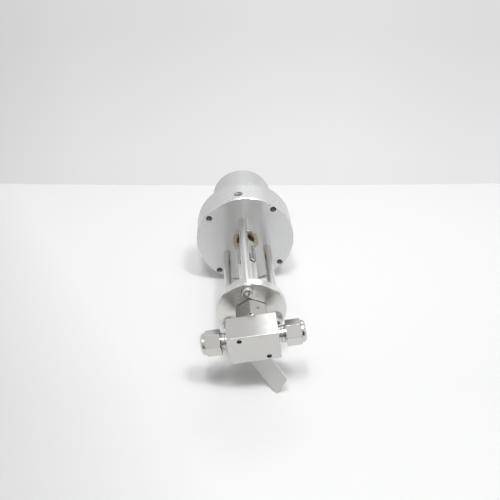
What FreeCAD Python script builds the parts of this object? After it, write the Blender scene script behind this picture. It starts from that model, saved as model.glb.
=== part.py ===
import FreeCAD, Part
import math
import os

from FreeCAD import Placement, Vector

os.makedirs("parts", exist_ok=True)

# Air-operated bellows shut-off valve, lying on its side on a table.
# Millimetres. The stem axis is Y: the valve's bottom face is at y = 0 and the
# actuator points to +Y. The tube ports lie along X. Everything is drawn upright
# about the stem axis and then rolled by valve_roll, as the valve lies.

# Driving dimensions
valve_roll = 7.6            # degrees the right-hand port is raised
slide_fit = 0.05            # radial clearance of a running fit
close_fit = 0.02            # radial gap between pieces assembled for good
screw_hole_fit = 0.15       # radial gap round a screw in a plain hole
thread_fit = 0.05           # radial gap drawn between a male and a female thread
seat_gap = 0.05             # air left between closed faces that move apart
stroke = 4.0                # travel of the stem from closed to open

body_width = 39.6           # along the ports
body_depth = 26.2
body_height = 23.8          # along the stem
body_edge = 0.5             # broken edges of the block
port_height = 12.6          # port axis above the block's bottom face
port_bore_r = 3.55
tube_r = 4.7625             # 3/8 inch tube
tube_fit = 0.05
thread_r = 6.42             # root of the 9/16-20 end thread, whose crests stand at 7.14
neck_r = 6.1                # relief between block and thread
neck_length = 1.6
end_thread_length = 12.6
nose_length = 1.0
nose_r = 6.2
socket_depth = 16.0
seat_cone_angle = 12.0      # half angle of the mouth that squeezes the front ferrule
mount_hole_r = 1.95
mount_hole_depth = 7.5
mount_hole_x = 10.3
mount_hole_z = 9.4

chamber_r = 7.95
chamber_floor = 17.0
seat_hole_r = 2.8
seat_ring_r = 3.9
seat_ring_height = 0.8
side_passage_r = 1.9
bore_end_wall = 1.3         # metal between the two port bores
boss_r = 10.3               # male thread that carries the union nut
boss_height = 10.0
boss_relief_r = 9.7
boss_relief = 1.4

nut_flats = 17.46           # 11/16 inch hexagon
nut_stand_off = 5.45        # between the block and a tube nut
nut_length = 15.3
nut_round_length = 4.0      # round end beyond the hexagon
nut_turn_left = 20.0        # degrees a hexagon corner stands above the front
nut_turn_right = 16.5
socket_mouth_depth = 4.2
nut_bore_chamfer = 0.5
front_ferrule_nose = 1.3    # how far the nose stays short of the cone's root
ferrule_proud = 1.2         # front ferrule's back beyond the end face
ferrule_r = 6.0
back_ferrule_length = 1.6
ferrule_gap = 0.05

union_flats = 24.5
union_gap = 0.5             # above the block and below the yoke flange
weep_hole_r = 0.9
weep_above_middle = 1.0
gasket_height = 0.6
bonnet_r = 8.9
bonnet_bore_r = 7.0
bonnet_shoulder_r = 10.2
bonnet_shoulder = 3.0
bonnet_edge = 1.0
bonnet_length = 69.5
bonnet_head = 6.0
lock_nut_flats = 25.4
lock_nut_height = 7.0

stem_r = 3.0
stem_tip_r = 4.8
stem_tip_length = 8.0
stem_tip_floor = 2.0
stem_collar_r = 6.2
stem_collar_height = 2.4
bellows_r = 6.4
bellows_root_r = 4.4
bellows_folds = 12
bellows_wall = 0.35
bellows_cuff = 1.5
stem_collar_gap = 1.0       # collar above the bonnet's shoulder when closed

flange_edge_distance = 6.2  # from the posts' circle to the rim
flange_thickness = 7.4
flange_edge = 0.9
flange_face = 42.7          # front face of the yoke flange
post_r = 3.95
post_circle_r = 23.0
post_angles = (90.0, 210.0, 330.0)
post_spigot_r = 2.9
post_spigot_length = 6.0
screw_r = 2.1
screw_length = 16.0
screw_head_r = 4.4
screw_head_height = 4.2
screw_socket_flats = 4.0
screw_socket_depth = 2.6
washer_r = 5.5
washer_thickness = 1.0

actuator_r = 48.05
actuator_face = 149.4       # front face of the cylinder
cylinder_length = 26.3
cylinder_wall = 9.55
cylinder_floor = 8.6
rim_chamfer = 1.0
clamp_edge_distance = 4.18  # from the clamp screws' circle to the rim
clamp_screw_angles = (45.0, 135.0, 225.0, 315.0)
clamp_counterbore_r = 3.0
clamp_counterbore_depth = 12.0
clamp_screw_r = 1.5
clamp_head_r = 2.75
clamp_head_height = 3.0
clamp_thread_depth = 4.5
clamp_socket_flats = 2.5
clamp_socket_depth = 1.4
air_port_r = 4.3
air_port_behind_face = 9.2
air_port_depth = 7.0
air_passage_r = 2.0

bushing_r = 12.9
bushing_proud = 0.8
bushing_lip_r = 8.3
bushing_lip_bevel = 0.8
bushing_recess = 3.2        # open seat of the rod seal
rod_r = 6.0
rod_seal_height = 2.4
rod_stud_r = 5.0            # threaded end in the coupling and its nut
rod_stud_proud = 0.8
rod_thread_r = 4.0
rod_thread_proud = 1.1
rod_break = 0.5             # half the gap between stem and rod in the coupling
piston_thickness = 9.0
piston_lift = 1.2           # piston above the cylinder floor when closed
piston_hub_height = 2.5
piston_seal_depth = 2.2
piston_seal_height = 3.2
piston_dish = 2.0
piston_rim_width = 7.0
seal_play = 0.1             # seal short of its groove on each side
piston_nut_flats = 13.0
piston_nut_height = 6.5

coupling_r = 8.6
coupling_flats = 14.3
coupling_gap = 3.2          # coupling above the bonnet when closed
coupling_length = 24.0
coupling_edge = 0.7
coupling_flat_length = 9.0
rod_nut_flats = 16.0
rod_nut_height = 8.0

cover_thickness = 6.0
cover_seal_depth = 1.8
cover_seal_height = 2.2
housing_r = 32.2
housing_wall = 5.0
housing_length = 62.2
housing_end = 6.0
housing_edge = 1.0
vent_r = 1.6
vent_edge_distance = 8.6    # from the housing's bore to the vent
spring_seat_thickness = 3.0
spring_seat_rib = 2.0
spring_seat_hole_r = 6.0
spring_seat_fit = 0.3
spring_end_ground = 0.3     # share of the wire's height ground off each end
outer_spring_play = 3.0     # between the outer spring and the housing
outer_wire_width = 5.2
outer_wire_height = 4.2
outer_turns = 6.0
spring_spacing = 3.5        # between the two springs
inner_wire_width = 3.4
inner_wire_height = 2.8
inner_turns = 8.0
hub_play = 0.5              # between the inner spring and the piston's hub

bracket_screw_angle = post_angles[1]
bracket_thickness = 1.6
bracket_width = 18.4
bracket_turn = -35.1        # degrees of the strip about its screw
bracket_bend = 49.8         # degrees of the leg out of the flange's plane
bracket_bend_radius = 1.5
bracket_screw_to_bend = 10.63
bracket_screw_to_edge = 13.42
bracket_ear_r = 5.6
bracket_relief = 0.8
bracket_far_corner = 4.0
bracket_tip_corner = 1.2
foot_x = -9.5               # middle of the foot on the table
foot_width = 9.0

# Values worked out from the driving dimensions
flange_r = post_circle_r + flange_edge_distance
cylinder_bore_r = actuator_r - cylinder_wall
clamp_screw_circle_r = actuator_r - clamp_edge_distance
half_width = body_width / 2
boss_top = body_height + boss_height
bonnet_foot = boss_top + gasket_height
bonnet_top = bonnet_foot + bonnet_length
flange_back = flange_face + flange_thickness
seat_top = chamber_floor + seat_ring_height
tip_bottom = seat_top + seat_gap
tip_top = tip_bottom + stem_tip_length
stem_bottom = tip_bottom + stem_tip_floor
collar_bottom = bonnet_foot + bonnet_shoulder + stem_collar_gap
collar_top = collar_bottom + stem_collar_height
bellows_top = bonnet_top - bonnet_head
coupling_bottom = bonnet_top + coupling_gap
coupling_middle = coupling_bottom + coupling_length / 2
coupling_top = coupling_bottom + coupling_length
rod_nut_top = coupling_top + rod_nut_height
floor_inside = actuator_face + cylinder_floor
cylinder_back = actuator_face + cylinder_length
piston_front = floor_inside + piston_lift
piston_back = piston_front + piston_thickness
hub_back = piston_back + piston_hub_height
piston_nut_back = hub_back + piston_nut_height
rod_end = piston_nut_back + rod_thread_proud
cover_front = piston_back + stroke + seat_gap
cover_back = cylinder_back + cover_thickness
housing_back = cover_back + housing_length
housing_inside = housing_back - housing_end
housing_bore_r = housing_r - housing_wall
vent_radius = housing_bore_r - vent_edge_distance
spring_seat_front = housing_inside - spring_seat_thickness
outer_spring_r = housing_bore_r - outer_spring_play - outer_wire_width / 2
outer_spring_inside = outer_spring_r - outer_wire_width / 2
inner_spring_r = outer_spring_inside - spring_spacing - inner_wire_width / 2
piston_hub_r = inner_spring_r - inner_wire_width / 2 - hub_play
socket_r = tube_r + tube_fit
end_face_x = half_width + neck_length + end_thread_length + nose_length
nut_inner_x = half_width + nut_stand_off
nut_end = nut_inner_x + nut_length


def revolve_y(points):
    """Turn a closed outline of (radius, y) points about the stem axis."""
    corners = [Vector(r, y, 0) for r, y in points]
    face = Part.Face(Part.makePolygon(corners + corners[:1]))
    return face.revolve(Vector(0, 0, 0), Vector(0, 1, 0), 360)


def rod_y(radius, low, high, x=0.0, z=0.0):
    return Part.makeCylinder(radius, high - low, Vector(x, low, z), Vector(0, 1, 0))


def ring_y(outer, inner, low, high):
    return rod_y(outer, low, high).cut(rod_y(inner, low - 1, high + 1))


def on_circle(radius, angle):
    turn = math.radians(angle)
    return radius * math.cos(turn), radius * math.sin(turn)


def hexagon_y(flats, low, high, first_corner=90.0, chamfer_low=0.0, chamfer_high=0.0):
    """A hexagonal prism along the stem, its ends turned off at thirty degrees."""
    corner_r = flats / math.sqrt(3)
    corners = []
    for k in range(6):
        x, z = on_circle(corner_r, first_corner + 60 * k)
        corners.append(Vector(x, low, z))
    prism = Part.Face(Part.makePolygon(corners + corners[:1])).extrude(Vector(0, high - low, 0))
    slope = math.tan(math.radians(30))
    low_r = corner_r - chamfer_low / slope
    high_r = corner_r - chamfer_high / slope
    outline = [(0, low), (low_r, low), (corner_r + 0.01, low + chamfer_low + 0.01)]
    outline += [(corner_r + 0.01, high - chamfer_high - 0.01), (high_r, high), (0, high)]
    return prism.common(revolve_y(outline))


def to_port(shape, side, turn=0.0):
    """Lay a piece drawn along the stem on the port axis, side +1 right or -1 left."""
    shape = shape.copy()
    shape.rotate(Vector(0, 0, 0), Vector(0, 1, 0), -side * turn)
    shape.rotate(Vector(0, 0, 0), Vector(0, 0, 1), -90 * side)
    shape.translate(Vector(0, port_height, 0))
    return shape


def end_fitting():
    """One threaded tube end of the body, drawn along the stem from its axis."""
    thread_start = half_width + neck_length
    thread_end = thread_start + end_thread_length
    outline = [(0, half_width - 1.0), (neck_r, half_width - 1.0), (neck_r, thread_start)]
    outline += [(thread_r, thread_start + 0.8), (thread_r, thread_end - 0.6)]
    outline += [(nose_r, thread_end), (nose_r, end_face_x), (0, end_face_x)]
    return revolve_y(outline)


def end_bore(inner_end):
    """The tube socket with its ferrule cone, and the port bore behind it."""
    mouth_r = socket_r + socket_mouth_depth * math.tan(math.radians(seat_cone_angle))
    outline = [(0, inner_end), (port_bore_r, inner_end)]
    outline += [(port_bore_r, end_face_x - socket_depth), (socket_r, end_face_x - socket_depth)]
    outline += [(socket_r, end_face_x - socket_mouth_depth), (mouth_r, end_face_x)]
    outline += [(mouth_r, end_face_x + 1), (0, end_face_x + 1)]
    return revolve_y(outline)


def make_valve_body():
    block = Part.makeBox(body_width, body_height, body_depth,
                         Vector(-half_width, 0, -body_depth / 2))
    block = block.makeChamfer(body_edge, block.Edges)
    boss = [(0, body_height - 1), (boss_relief_r, body_height - 1)]
    boss += [(boss_relief_r, body_height + boss_relief), (boss_r, body_height + boss_relief + 0.6)]
    boss += [(boss_r, boss_top - 0.6), (boss_r - 0.6, boss_top), (0, boss_top)]
    body = block.fuse(revolve_y(boss))
    for side in (1, -1):
        body = body.fuse(to_port(end_fitting(), side))
    body = body.cut(rod_y(chamber_r, chamber_floor, boss_top + 1))
    body = body.fuse(rod_y(seat_ring_r, chamber_floor - 0.5, seat_top))
    inlet_end = seat_hole_r + 0.1
    body = body.cut(to_port(end_bore(-inlet_end), -1))
    body = body.cut(to_port(end_bore(inlet_end + bore_end_wall), 1))
    body = body.cut(rod_y(seat_hole_r, port_height, seat_top + 1))
    passage_x = chamber_r - side_passage_r - 0.1
    body = body.cut(rod_y(side_passage_r, port_height, chamber_floor + 0.2, passage_x))
    for sign in (1, -1):
        x = sign * mount_hole_x
        z = -sign * mount_hole_z
        tip = Part.makeCone(mount_hole_r, 0, mount_hole_r * 0.6,
                            Vector(x, mount_hole_depth, z), Vector(0, 1, 0))
        body = body.cut(rod_y(mount_hole_r, -1, mount_hole_depth, x, z).fuse(tip))
    return body.removeSplitter()


def make_tube_nut(side, turn):
    hex_outer = nut_end - nut_round_length
    hexagon = hexagon_y(nut_flats, nut_inner_x, hex_outer + 1.2, 0.0, 0.5, 1.2)
    round_r = nut_flats / 2 - 0.15
    outline = [(0, nut_inner_x + 2), (round_r, nut_inner_x + 2), (round_r, nut_end - 1.6)]
    outline += [(round_r - 1.0, nut_end - 0.4), (round_r - 1.8, nut_end), (0, nut_end)]
    nut = hexagon.fuse(revolve_y(outline))
    bore_r = thread_r + thread_fit
    edge = nut_bore_chamfer
    shoulder_x = end_face_x + ferrule_proud + ferrule_gap + back_ferrule_length / 2
    cone_end = shoulder_x + (bore_r - socket_r) * math.tan(math.radians(45))
    inside = [(0, nut_inner_x - 1), (bore_r + edge, nut_inner_x - 1), (bore_r + edge, nut_inner_x)]
    inside += [(bore_r, nut_inner_x + edge), (bore_r, shoulder_x), (socket_r, cone_end)]
    inside += [(socket_r, nut_end - edge), (socket_r + edge, nut_end), (socket_r + edge, nut_end + 1)]
    inside += [(0, nut_end + 1)]
    nut = nut.cut(revolve_y(inside))
    return to_port(nut.removeSplitter(), side, turn)


def make_front_ferrule(side):
    """A tapered ring whose nose rests in the mouth of the tube socket."""
    back = end_face_x + ferrule_proud
    front = end_face_x - socket_mouth_depth + front_ferrule_nose
    slope = math.tan(math.radians(seat_cone_angle))
    cone_r = socket_r + socket_mouth_depth * slope - close_fit
    nose_end_r = socket_r + front_ferrule_nose * slope - close_fit
    outline = [(socket_r, front), (nose_end_r, front), (cone_r, end_face_x)]
    outline += [(ferrule_r, end_face_x + 2 * ferrule_gap), (ferrule_r, back), (socket_r, back)]
    return to_port(revolve_y(outline), side)


def make_back_ferrule(side):
    """The thin ring that the nut's inner shoulder presses on."""
    front = end_face_x + ferrule_proud + ferrule_gap
    back = front + back_ferrule_length
    outline = [(socket_r, front), (ferrule_r - 0.4, front), (ferrule_r - 0.2, front + 0.5)]
    outline += [(socket_r + 0.5, back), (socket_r, back)]
    return to_port(revolve_y(outline), side)


def make_union_nut():
    low = body_height + union_gap
    high = flange_face - union_gap
    nut = hexagon_y(union_flats, low, high, 90.0, 1.3, 0.9)
    bore_r = boss_r + thread_fit
    web_low = bonnet_foot + bonnet_shoulder
    hole_r = bonnet_r + slide_fit
    inside = [(0, low - 1), (bore_r + 0.4, low - 1), (bore_r + 0.4, low + 0.6), (bore_r, low + 1.0)]
    inside += [(bore_r, web_low), (hole_r, web_low), (hole_r, high + 1), (0, high + 1)]
    nut = nut.cut(revolve_y(inside))
    weep_y = (low + high) / 2 + weep_above_middle
    x, z = on_circle(union_flats, 60.0)
    weep = Part.makeCylinder(weep_hole_r, union_flats - boss_r + 1, Vector(x, weep_y, z), Vector(-x, 0, -z))
    return nut.cut(weep).removeSplitter()


def make_bonnet():
    """The tube that guides the stem and holds the bellows."""
    outline = [(bonnet_bore_r, bonnet_foot), (bonnet_shoulder_r, bonnet_foot)]
    outline += [(bonnet_shoulder_r, bonnet_foot + bonnet_shoulder)]
    outline += [(bonnet_r, bonnet_foot + bonnet_shoulder), (bonnet_r, bonnet_top - bonnet_edge)]
    outline += [(bonnet_r - bonnet_edge, bonnet_top), (stem_r + slide_fit, bonnet_top)]
    outline += [(stem_r + slide_fit, bellows_top), (bonnet_bore_r, bellows_top)]
    return revolve_y(outline)


def make_bonnet_gasket():
    return ring_y(bonnet_shoulder_r, chamber_r + 0.2, boss_top, bonnet_foot)


def make_bonnet_lock_nut():
    nut = hexagon_y(lock_nut_flats, flange_back, flange_back + lock_nut_height, 90.0, 0.8, 1.2)
    return nut.cut(rod_y(bonnet_r + thread_fit, 0, bonnet_top)).removeSplitter()


def make_bellows():
    """Folded metal tube between the stem's collar and the head of the bonnet."""
    wall = bellows_wall
    low = collar_top + bellows_cuff
    high = bellows_top - bellows_cuff
    pitch = (high - low) / bellows_folds
    outer = [(bellows_root_r + wall, collar_top), (bellows_root_r + wall, low)]
    inner = [(bellows_root_r, collar_top), (bellows_root_r, low)]
    for k in range(bellows_folds):
        crest = low + (k + 0.5) * pitch
        root = low + (k + 1) * pitch
        outer += [(bellows_r, crest), (bellows_root_r + wall, root)]
        inner += [(bellows_r - wall, crest), (bellows_root_r, root)]
    outer += [(bellows_root_r + wall, bellows_top)]
    inner += [(bellows_root_r, bellows_top)]
    return revolve_y(outer + inner[::-1])


def make_valve_stem():
    outline = [(0, stem_bottom), (stem_r, stem_bottom), (stem_r, collar_bottom)]
    outline += [(stem_collar_r, collar_bottom), (stem_collar_r, collar_top), (stem_r, collar_top)]
    stem_end = coupling_middle - rod_break
    outline += [(stem_r, stem_end - 0.5), (stem_r - 0.5, stem_end), (0, stem_end)]
    return revolve_y(outline)


def make_stem_tip():
    """The closing head at the end of the stem, with its flat sealing face."""
    outline = [(0, tip_bottom), (seat_ring_r, tip_bottom), (stem_tip_r, tip_bottom + 1.2)]
    outline += [(stem_tip_r, tip_top - 0.6), (stem_tip_r - 0.6, tip_top)]
    outline += [(stem_r + close_fit, tip_top), (stem_r + close_fit, stem_bottom), (0, stem_bottom)]
    return revolve_y(outline)


def make_yoke_flange():
    edge = flange_edge
    outline = [(bonnet_r + thread_fit, flange_face), (flange_r - edge, flange_face)]
    outline += [(flange_r, flange_face + edge), (flange_r, flange_back - edge)]
    outline += [(flange_r - edge, flange_back), (bonnet_r + thread_fit, flange_back)]
    flange = revolve_y(outline)
    for angle in post_angles:
        x, z = on_circle(post_circle_r, angle)
        flange = flange.cut(rod_y(screw_r + screw_hole_fit, flange_face - 1, flange_back + 1, x, z))
    return flange.removeSplitter()


def make_post(angle):
    x, z = on_circle(post_circle_r, angle)
    outline = [(0, flange_back), (post_r - 0.5, flange_back), (post_r, flange_back + 0.5)]
    outline += [(post_r, actuator_face - 0.5), (post_r - 0.5, actuator_face)]
    outline += [(post_spigot_r, actuator_face), (post_spigot_r, actuator_face + post_spigot_length - 0.5)]
    outline += [(post_spigot_r - 0.5, actuator_face + post_spigot_length)]
    outline += [(0, actuator_face + post_spigot_length)]
    post = revolve_y(outline)
    tapped = flange_back + screw_length
    post = post.cut(rod_y(screw_r + thread_fit, flange_back - 1, tapped))
    post.translate(Vector(x, 0, z))
    return post


def cap_screw(head_r, head_height, shank_r, shank_length, socket_flats, socket_depth):
    """A socket head cap screw along +Y with the underside of its head at y = 0."""
    outline = [(0, -head_height), (head_r - 0.4, -head_height), (head_r, -head_height + 0.4)]
    outline += [(head_r, 0), (shank_r, 0), (shank_r, shank_length - 0.4)]
    outline += [(shank_r - 0.4, shank_length), (0, shank_length)]
    screw = revolve_y(outline)
    socket = hexagon_y(socket_flats, -head_height - 1, -head_height + socket_depth)
    return screw.cut(socket)


def make_post_screws():
    """One screw into each post; the lower left one also holds the bracket."""
    screws = []
    for angle in post_angles:
        x, z = on_circle(post_circle_r, angle)
        screw = cap_screw(screw_head_r, screw_head_height, screw_r, screw_length,
                          screw_socket_flats, screw_socket_depth)
        screw.translate(Vector(x, washer_seat(angle) - washer_thickness, z))
        screws.append(screw)
    return Part.makeCompound(screws)


def washer_seat(angle):
    """Height that a post screw's washer lies on: the flange, or the bracket on it."""
    return flange_face - (bracket_thickness if angle == bracket_screw_angle else 0)


def make_post_washers():
    washers = []
    for angle in post_angles:
        x, z = on_circle(post_circle_r, angle)
        seat = washer_seat(angle)
        washer = ring_y(washer_r, screw_r + screw_hole_fit, seat - washer_thickness, seat)
        washer.translate(Vector(x, 0, z))
        washers.append(washer)
    return Part.makeCompound(washers)


def make_actuator_cylinder():
    edge = rim_chamfer
    outline = [(bushing_r + close_fit, actuator_face), (actuator_r - edge, actuator_face)]
    outline += [(actuator_r, actuator_face + edge), (actuator_r, cylinder_back)]
    outline += [(cylinder_bore_r, cylinder_back), (cylinder_bore_r, floor_inside)]
    outline += [(bushing_r + close_fit, floor_inside)]
    cylinder = revolve_y(outline)
    for angle in post_angles:
        x, z = on_circle(post_circle_r, angle)
        cylinder = cylinder.cut(rod_y(post_spigot_r + thread_fit, actuator_face - 1,
                                      actuator_face + post_spigot_length + 0.5, x, z))
    for angle in clamp_screw_angles:
        x, z = on_circle(clamp_screw_circle_r, angle)
        deep = actuator_face + clamp_counterbore_depth
        cylinder = cylinder.cut(rod_y(clamp_counterbore_r, actuator_face - 1, deep, x, z))
        cylinder = cylinder.cut(rod_y(clamp_screw_r + screw_hole_fit, deep - 1, cylinder_back + 1, x, z))
    port_axis_y = actuator_face + air_port_behind_face
    port = Part.makeCylinder(air_port_r, air_port_depth + 1,
                             Vector(0, port_axis_y, actuator_r - air_port_depth), Vector(0, 0, 1))
    passage = Part.makeCylinder(air_passage_r, actuator_r - cylinder_bore_r + 1,
                                Vector(0, port_axis_y, cylinder_bore_r - 2), Vector(0, 0, 1))
    return cylinder.cut(port.fuse(passage)).removeSplitter()


def make_clamp_screws():
    screws = []
    under_head = actuator_face + clamp_counterbore_depth
    length = cylinder_back + clamp_thread_depth - 0.5 - under_head
    for angle in clamp_screw_angles:
        x, z = on_circle(clamp_screw_circle_r, angle)
        screw = cap_screw(clamp_head_r, clamp_head_height, clamp_screw_r, length,
                          clamp_socket_flats, clamp_socket_depth)
        screw.translate(Vector(x, under_head, z))
        screws.append(screw)
    return Part.makeCompound(screws)


def make_rod_bushing():
    """Bronze guide in the cylinder's front wall, open at the front for the rod seal."""
    front = actuator_face - bushing_proud
    bore = rod_r + slide_fit
    outline = [(bore, front + bushing_recess), (bushing_lip_r, front + bushing_recess)]
    outline += [(bushing_lip_r, front + bushing_lip_bevel), (bushing_lip_r + bushing_lip_bevel, front)]
    outline += [(bushing_r - 0.5, front), (bushing_r, front + 0.5), (bushing_r, floor_inside)]
    outline += [(bore, floor_inside)]
    return revolve_y(outline)


def make_rod_seal():
    """Wiper ring that lies on the floor of the bushing's open seat."""
    high = actuator_face - bushing_proud + bushing_recess
    low = high - rod_seal_height
    outline = [(rod_r + close_fit, low + 0.6), (rod_r + 0.7, low), (bushing_lip_r - 0.6, low)]
    outline += [(bushing_lip_r - close_fit, low + 0.6), (bushing_lip_r - close_fit, high)]
    outline += [(rod_r + close_fit, high)]
    return revolve_y(outline)


def make_piston_rod():
    """Polished rod with a threaded stud at the coupling and a thread for the piston's nut."""
    rod_start = coupling_middle + rod_break
    shoulder = rod_nut_top + rod_stud_proud
    outline = [(0, rod_start), (rod_stud_r - 0.5, rod_start), (rod_stud_r, rod_start + 0.5)]
    outline += [(rod_stud_r, shoulder), (rod_r - 0.5, shoulder), (rod_r, shoulder + 0.5)]
    outline += [(rod_r, piston_front), (rod_thread_r, piston_front)]
    outline += [(rod_thread_r, rod_end - 0.6), (rod_thread_r - 0.6, rod_end), (0, rod_end)]
    return revolve_y(outline)


def make_piston():
    groove_low = piston_front + (piston_thickness - piston_seal_height) / 2
    groove_high = groove_low + piston_seal_height
    rim = cylinder_bore_r - slide_fit
    dish_r = cylinder_bore_r - piston_rim_width
    dish_floor = piston_back - piston_dish
    bore = rod_thread_r + close_fit
    outline = [(bore, piston_front), (rim - 1.0, piston_front), (rim, piston_front + 1.0)]
    outline += [(rim, groove_low), (rim - piston_seal_depth, groove_low)]
    outline += [(rim - piston_seal_depth, groove_high), (rim, groove_high), (rim, piston_back)]
    outline += [(dish_r, piston_back), (dish_r - 1.5, dish_floor)]
    outline += [(housing_bore_r, dish_floor), (housing_bore_r, piston_back)]
    outline += [(piston_hub_r, piston_back), (piston_hub_r, hub_back), (bore, hub_back)]
    return revolve_y(outline)


def make_piston_seal():
    low = piston_front + (piston_thickness - piston_seal_height) / 2 + seal_play
    high = low + piston_seal_height - 2 * seal_play
    outer = cylinder_bore_r - close_fit
    inner = cylinder_bore_r - slide_fit - piston_seal_depth
    return ring_y(outer, inner, low, high)


def make_piston_nut():
    nut = hexagon_y(piston_nut_flats, hub_back, piston_nut_back, 90.0, 0.0, 0.8)
    return nut.cut(rod_y(rod_thread_r + close_fit, 0, rod_end)).removeSplitter()


def make_stem_coupling():
    """Turned sleeve that joins the valve stem to the piston rod, with wrench flats."""
    edge = coupling_edge
    stem_bore = stem_r + close_fit
    rod_bore = rod_stud_r + close_fit
    outline = [(stem_bore, coupling_bottom), (coupling_r - edge, coupling_bottom)]
    outline += [(coupling_r, coupling_bottom + edge), (coupling_r, coupling_top - edge)]
    outline += [(coupling_r - edge, coupling_top), (rod_bore, coupling_top)]
    outline += [(rod_bore, coupling_middle + rod_break), (stem_bore, coupling_middle - rod_break)]
    coupling = revolve_y(outline)
    for side in (1, -1):
        slab = Part.makeBox(4 * coupling_r, coupling_flat_length, coupling_r,
                            Vector(-2 * coupling_r, coupling_bottom, 0))
        slab.translate(Vector(0, 0, coupling_flats / 2 if side > 0 else -coupling_flats / 2 - coupling_r))
        coupling = coupling.cut(slab)
    return coupling.removeSplitter()


def make_rod_nut():
    nut = hexagon_y(rod_nut_flats, coupling_top, rod_nut_top, 90.0, 0.6, 0.6)
    return nut.cut(rod_y(rod_stud_r + close_fit, 0, rod_nut_top + 1)).removeSplitter()


def make_spring_housing():
    """Cover flange and closed spring tube in one stepped turning."""
    spigot_r = cylinder_bore_r - close_fit
    groove_low = cover_front + (cylinder_back - cover_front - cover_seal_height) / 2
    groove_high = groove_low + cover_seal_height
    outline = [(housing_bore_r, cover_front), (spigot_r, cover_front), (spigot_r, groove_low)]
    outline += [(spigot_r - cover_seal_depth, groove_low), (spigot_r - cover_seal_depth, groove_high)]
    outline += [(spigot_r, groove_high), (spigot_r, cylinder_back), (actuator_r, cylinder_back)]
    outline += [(actuator_r, cover_back - rim_chamfer), (actuator_r - rim_chamfer, cover_back)]
    outline += [(housing_r + 1.0, cover_back), (housing_r, cover_back + 1.0)]
    outline += [(housing_r, housing_back - housing_edge), (housing_r - housing_edge, housing_back)]
    outline += [(0, housing_back), (0, housing_inside), (housing_bore_r, housing_inside)]
    housing = revolve_y(outline)
    for angle in clamp_screw_angles:
        x, z = on_circle(clamp_screw_circle_r, angle)
        housing = housing.cut(rod_y(clamp_screw_r + thread_fit, cylinder_back - 1,
                                    cylinder_back + clamp_thread_depth, x, z))
    vent = rod_y(vent_r, housing_inside - 1, housing_back + 1, 0, -vent_radius)
    return housing.cut(vent).removeSplitter()


def make_cover_seal():
    middle = (cover_front + cylinder_back) / 2
    half = cover_seal_height / 2 - seal_play
    outer = cylinder_bore_r - close_fit / 2
    inner = cylinder_bore_r - close_fit - cover_seal_depth
    return ring_y(outer, inner, middle - half, middle + half)


def make_spring_seat():
    """Pressed washer that carries both springs at the closed end."""
    rib_r = outer_spring_inside - spring_spacing / 2
    rib_inner = rib_r - spring_seat_rib / 2
    rib_outer = rib_r + spring_seat_rib / 2
    rib_front = spring_seat_front - spring_seat_rib
    outer = housing_bore_r - spring_seat_fit
    outline = [(spring_seat_hole_r, spring_seat_front), (rib_inner, spring_seat_front)]
    outline += [(rib_inner, rib_front), (rib_outer, rib_front), (rib_outer, spring_seat_front)]
    outline += [(outer, spring_seat_front), (outer, housing_inside)]
    outline += [(spring_seat_hole_r, housing_inside)]
    seat = revolve_y(outline)
    return seat.cut(rod_y(vent_r + 1, spring_seat_front - 1, housing_inside + 1, 0, -vent_radius))


def make_spring(mean_r, width, height, turns):
    """A flat-wire coil with its ends ground square, between the piston and its seat."""
    low = piston_back
    high = spring_seat_front
    inside = (0.5 - spring_end_ground) * height
    pitch = (high - low - 2 * inside) / turns
    wire = Part.Wire(Part.makeHelix(pitch, pitch * turns, mean_r).Edges)
    corners = [Vector(mean_r - width / 2, 0, -height / 2), Vector(mean_r + width / 2, 0, -height / 2)]
    corners += [Vector(mean_r + width / 2, 0, height / 2), Vector(mean_r - width / 2, 0, height / 2)]
    coil = wire.makePipeShell([Part.makePolygon(corners + corners[:1])], True, True)
    coil.rotate(Vector(0, 0, 0), Vector(1, 0, 0), -90)
    coil.translate(Vector(0, low + inside, 0))
    return coil.common(rod_y(mean_r + 2 * width, low, high))


def in_strip_frame(x, z):
    """A place in the flange's plane, given as the valve lies, in the bracket's own frame."""
    roll = math.radians(valve_roll)
    upright_x = x * math.cos(roll) + z * math.sin(roll)
    upright_z = z * math.cos(roll) - x * math.sin(roll)
    screw_x, screw_z = on_circle(post_circle_r, bracket_screw_angle)
    turn = math.radians(bracket_turn)
    dx = upright_x - screw_x
    dz = upright_z - screw_z
    return dx * math.cos(turn) + dz * math.sin(turn), dz * math.cos(turn) - dx * math.sin(turn)


def leg_length_to_table(start_x, low_edge):
    """How far the leg runs from its bend until its rounded tip meets the table."""
    tilt = math.radians(bracket_turn + valve_roll)
    screw_z = post_circle_r * math.sin(math.radians(bracket_screw_angle + valve_roll))
    fall = -math.sin(tilt) * math.cos(math.radians(bracket_bend))
    rise_across = math.cos(tilt)
    rounding = bracket_tip_corner * (fall + rise_across - math.hypot(fall, rise_across))
    start_z = screw_z + start_x * math.sin(tilt) + low_edge * rise_across
    return (start_z + rounding + actuator_r) / fall


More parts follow.
